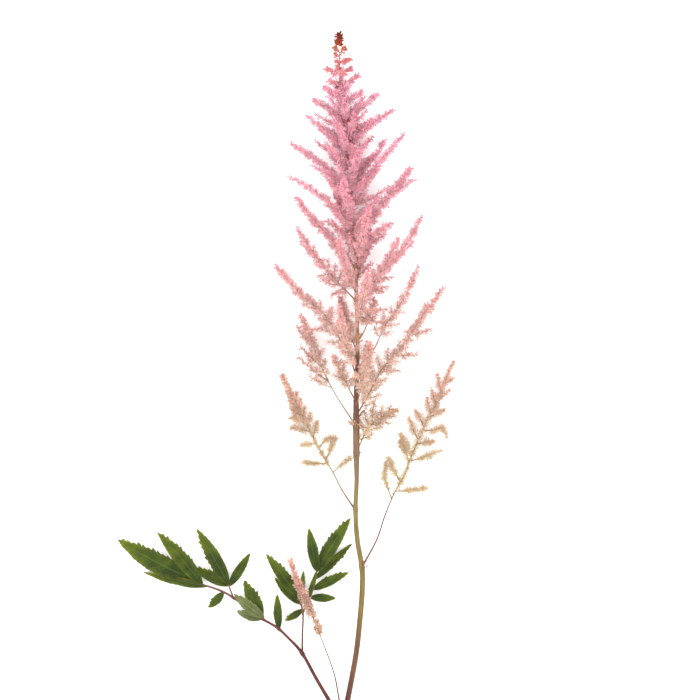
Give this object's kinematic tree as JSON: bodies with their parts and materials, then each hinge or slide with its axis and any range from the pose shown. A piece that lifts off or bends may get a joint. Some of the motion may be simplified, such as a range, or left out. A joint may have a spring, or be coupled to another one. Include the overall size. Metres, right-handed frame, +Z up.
{
  "type": "cut astilbe flower stem",
  "caption": "Cut astilbe stem with a feathery pink plume, side flower sprays and one toothed compound leaf, lying flat",
  "frame": {"origin": "on the surface that the stem lies on, under the middle of the whole plant's box", "axes": "+Y along the stem towards the tip of the plume, +X to the right seen from above with the plume pointing away, +Z up from the surface"},
  "size_m": [0.2394, 0.5176, 0.0622],
  "materials": {
    "stem": "satin",
    "leaf_stalk": "satin",
    "leaf": "satin",
    "buds": "matte",
    "upper_flowers": "matte",
    "lower_flowers": "matte"
  },
  "bodies": {
    "root": {"main_stem": "stem", "leaf_stalk": "leaf_stalk", "plume_top": "buds", "plume_right_01": "lower_flowers", "plume_right_02": "lower_flowers", "plume_right_03": "lower_flowers", "plume_right_04": "lower_flowers", "plume_right_05": "lower_flowers", "plume_right_06": "upper_flowers", "plume_right_07": "upper_flowers", "plume_right_08": "upper_flowers", "plume_right_09": "upper_flowers", "plume_right_10": "upper_flowers", "plume_right_11": "upper_flowers", "plume_right_12": "upper_flowers", "plume_left_01": "lower_flowers", "plume_left_02": "lower_flowers", "plume_left_03": "lower_flowers", "plume_left_04": "upper_flowers", "plume_left_05": "upper_flowers", "plume_left_06": "upper_flowers", "plume_left_07": "upper_flowers", "plume_left_08": "upper_flowers", "plume_left_09": "upper_flowers", "plume_upper_01": "lower_flowers", "plume_upper_02": "lower_flowers", "plume_upper_03": "lower_flowers", "plume_upper_04": "upper_flowers", "plume_upper_05": "upper_flowers", "plume_upper_06": "upper_flowers", "plume_upper_07": "upper_flowers", "plume_upper_08": "upper_flowers", "plume_under_01": "lower_flowers", "plume_under_02": "lower_flowers", "plume_under_03": "upper_flowers", "plume_under_04": "upper_flowers", "plume_under_05": "upper_flowers", "lower_left_branch": "lower_flowers", "lower_right_branch": "lower_flowers", "axillary_shoot": "lower_flowers", "leaflet_01": "leaf", "leaflet_02": "leaf", "leaflet_03": "leaf", "leaflet_04": "leaf", "leaflet_05": "leaf", "leaflet_06": "leaf", "leaflet_07": "leaf", "leaflet_08": "leaf", "leaflet_09": "leaf", "leaflet_10": "leaf", "leaflet_11": "leaf", "leaflet_12": "leaf", "leaflet_13": "leaf", "leaflet_14": "leaf", "leaflet_15": "leaf", "leaflet_16": "leaf", "leaflet_17": "leaf", "leaflet_18": "leaf", "leaflet_19": "leaf"}
  },
  "joints": []
}
